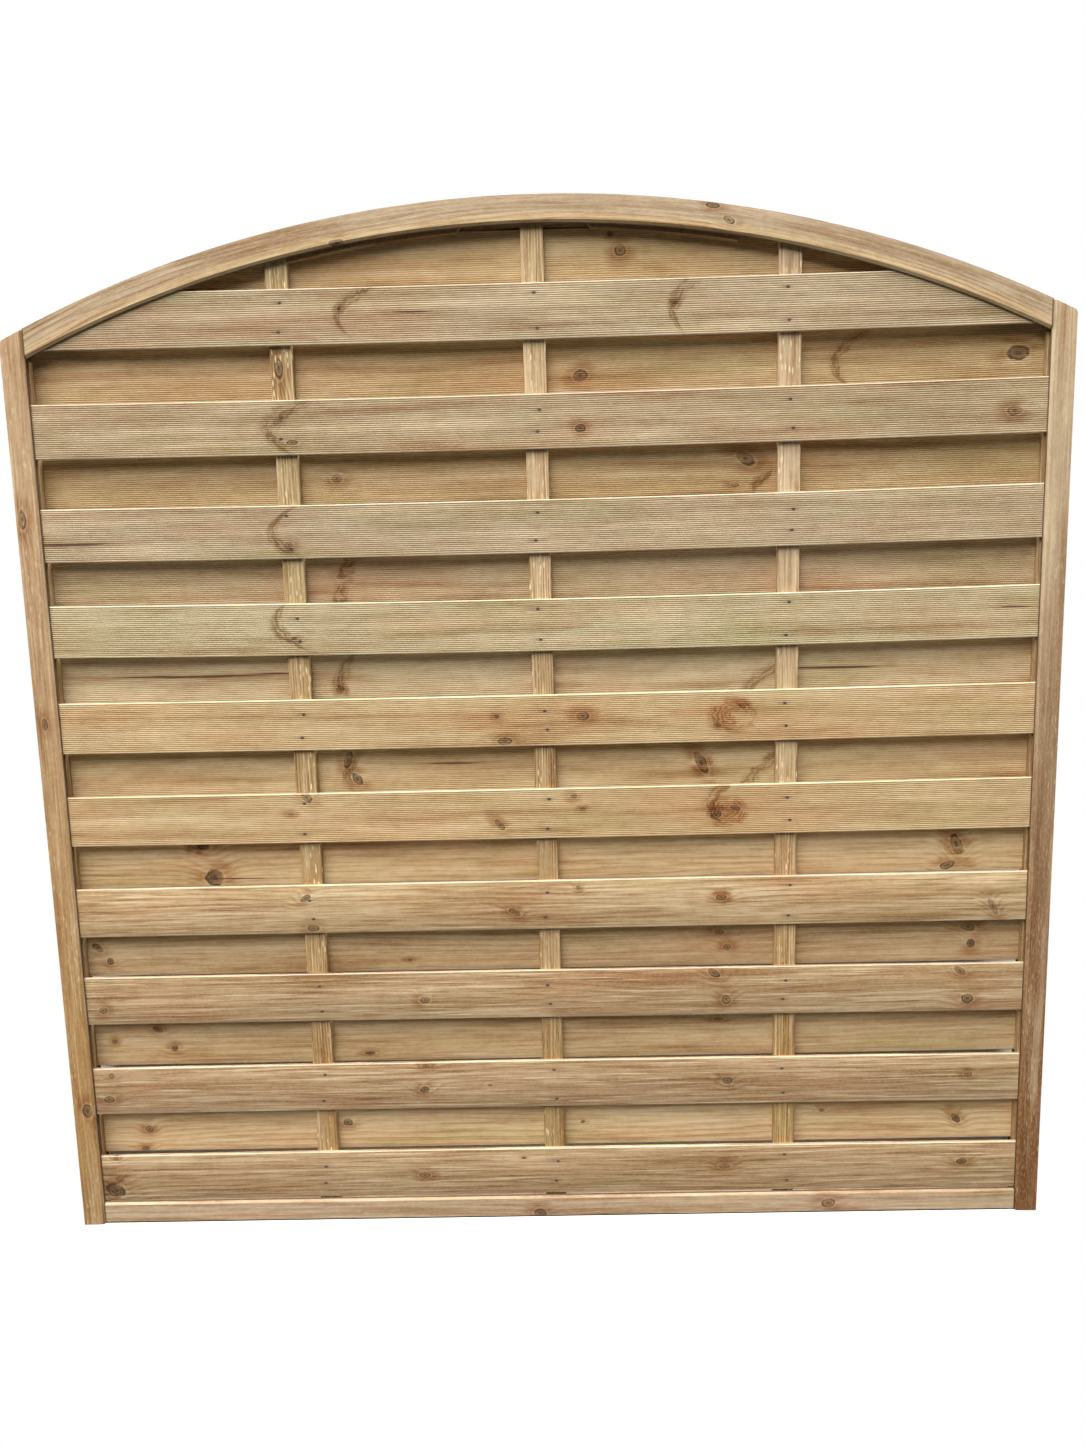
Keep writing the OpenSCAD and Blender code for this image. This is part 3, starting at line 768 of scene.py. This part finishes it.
def slat(name, node, near, reeded, lie, look):
    """One slat where its CAD node is, its near face at y, dried to its own bow."""
    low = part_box(node)[0]
    top = low.z + SLAT_WIDTH
    bm = board((STILE_WIDTH - SLAT_IN, near, low.z),
               (PANEL_WIDTH - STILE_WIDTH + SLAT_IN, near + SLAT_THICK, top))
    long_edges = [e for e in bm.edges if abs(e.verts[0].co.x - e.verts[1].co.x) > 0.5]
    bmesh.ops.bevel(bm, geom=long_edges, offset=SLAT_ARRIS, offset_type="OFFSET", segments=3,
                    profile=0.5, affect="EDGES", material=-1, clamp_overlap=True)
    if reeded:
        first = low.z + SLAT_ARRIS
        face = SLAT_WIDTH - 2 * SLAT_ARRIS
        rungs = [e for e in bm.edges if all(abs(v.co.y - near) < 1e-6 for v in e.verts)
                 and abs(e.verts[0].co.z - e.verts[1].co.z) > 0.05]
        bmesh.ops.subdivide_edges(bm, edges=rungs, cuts=REEDS * RINGS_PER_REED - 1, use_grid_fill=True)
        # valley: the depth of each reed, which also sets its painted shade
        valley = bm.verts.layers.float.new("valley")
        for v in bm.verts:
            if abs(v.co.y - near) < 1e-6:
                phase = (v.co.z - first) / face * REEDS
                v[valley] = (0.5 - 0.5 * math.cos(2 * math.pi * phase)) ** 2
                v.co.y += REED_DEPTH * v[valley]
    span = PANEL_WIDTH - 2 * STILE_WIDTH + 2 * SLAT_IN
    for k in range(1, LENGTH_CUTS):
        bmesh.ops.bisect_plane(bm, geom=bm.verts[:] + bm.edges[:] + bm.faces[:],
                               plane_co=(STILE_WIDTH - SLAT_IN + span * k / LENGTH_CUTS, 0, 0),
                               plane_no=(1, 0, 0))
    # the points on the eased arrises, which take the painted highlight
    arris_highlight = bm.verts.layers.float.new("arris_highlight")
    for v in bm.verts:
        from_edge = min(v.co.z - low.z, top - v.co.z)
        v[arris_highlight] = 1.0 if 1e-4 < from_edge < SLAT_ARRIS - 1e-4 else 0.0
        share = (v.co.x - ARCH_CENTRE.x) / (span / 2)
        v.co.z += 0.001 * (lie[0] * share + lie[1] * (share * share - BOW_LEVEL))
    corner = math.hypot(PANEL_WIDTH / 2 - STILE_WIDTH + SLAT_IN, top - ARCH_CENTRE.z)
    if corner > UNDER_RADIUS + SLAT_HEAD_IN:
        reach = UNDER_RADIUS + SLAT_HEAD_IN
        inner = math.acos(min(1, (top - ARCH_CENTRE.z) / reach))
        outer = math.acos((low.z - ARCH_CENTRE.z) / reach)
        saw_to_arch(bm, reach, inner, outer, HEAD_CUTS)
        saw_to_arch(bm, reach, -inner, -outer, HEAD_CUTS)
    finish_piece(name, bm, look, [node], arris=0)


def metres(rows, low):
    """The marks of a slat, listed in millimetres from its lower edge, in the panel's frame."""
    return [(x / 1000, low + up / 1000, half_long / 1000, half_high / 1000, *lean)
            for x, up, half_long, half_high, *lean in rows]


def torn(rows, low):
    """The torn grain of a slat, in the same way."""
    return [(x / 1000, low + up / 1000, half / 1000, lean / 1000, bend / 1000, wide / 1000, spread)
            for x, up, half, lean, bend, wide, spread in rows]


front_nails = []
back_nails = []
for n in range(SLATS_IN_ROW):
    for row in ("front", "back"):
        front = row == "front"
        node = f"slat_{row}_{n + 1:02d}"
        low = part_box(node)[0].z
        knots = metres((front_knots if front else back_knots)[n], low)
        checks = metres((front_checks if front else back_checks).get(n, []), low)
        spots = nail_rows(n if front else n + 20, low)
        (front_nails if front else back_nails).extend(spots)
        smooth = n >= ROWS_REEDED
        look = softwood(f"{row} slat {n + 1}", "x", (front_tones if front else back_tones)[n],
                        101.0 + 13 * n + (0 if front else 5), knots=knots, checks=checks,
                        ring=0.011 if smooth else 0.007, wander=0.022 if smooth else 0.014,
                        line_share=0.5 if smooth else 0.22, blush=0.6, nails=spots, reeded=not smooth,
                        swirls=metres((front_swirls if front else back_swirls).get(n, []), low),
                        feathers=torn((front_feathers if front else back_feathers).get(n, []), low),
                        arris_highlighted=True, hair=(0.75 if front else 0.4) if smooth else 0.04,
                        heart_share=0.6 if smooth else 0.42)
        slat(f"{row}_slat_{n + 1:02d}", node, FRONT_FACE if front else BACK_FACE, not smooth,
             (front_lie if front else back_lie)[n], look)

# The nails: small round heads of dull grey steel, driven just flush with the slats' faces, two at
# each batten.
HEAD_RADIUS = 0.0016
HEAD_THICK = 0.0007
nail_look = bpy.data.materials.new("dull nail heads")
nail_look.use_nodes = True
tree = nail_look.node_tree
steel = tree.nodes["Principled BSDF"]
coords = tree.nodes.new("ShaderNodeTexCoord")
rust = tree.nodes.new("ShaderNodeTexNoise")
rust.inputs["Scale"].default_value = 420
rust.inputs["Detail"].default_value = 3
tree.links.new(coords.outputs["Object"], rust.inputs["Vector"])
wire(tree, tint(tree, ease(tree, rust.outputs["Fac"], 0.4, 0.62), srgb(62, 54, 50), srgb(92, 66, 48)),
     steel.inputs["Base Color"])
wire(tree, ease(tree, rust.outputs["Fac"], 0.9, 0.1), steel.inputs["Roughness"])
steel.inputs["Metallic"].default_value = 0.35
for name, spots, face, slot in (("front_nails", front_nails, FRONT_FACE, -1),
                                ("back_nails", back_nails, BACK_FACE + SLAT_THICK, 1)):
    bm = bmesh.new()
    for x, z in spots:
        turned = Matrix.Translation((x, face, z)) @ Matrix.Rotation(math.radians(90), 4, "X")
        bmesh.ops.create_cone(bm, cap_ends=True, cap_tris=False, segments=12, radius1=HEAD_RADIUS,
                              radius2=HEAD_RADIUS, depth=HEAD_THICK, matrix=turned)
    finish_piece(name, bm, nail_look, [], arris=0)
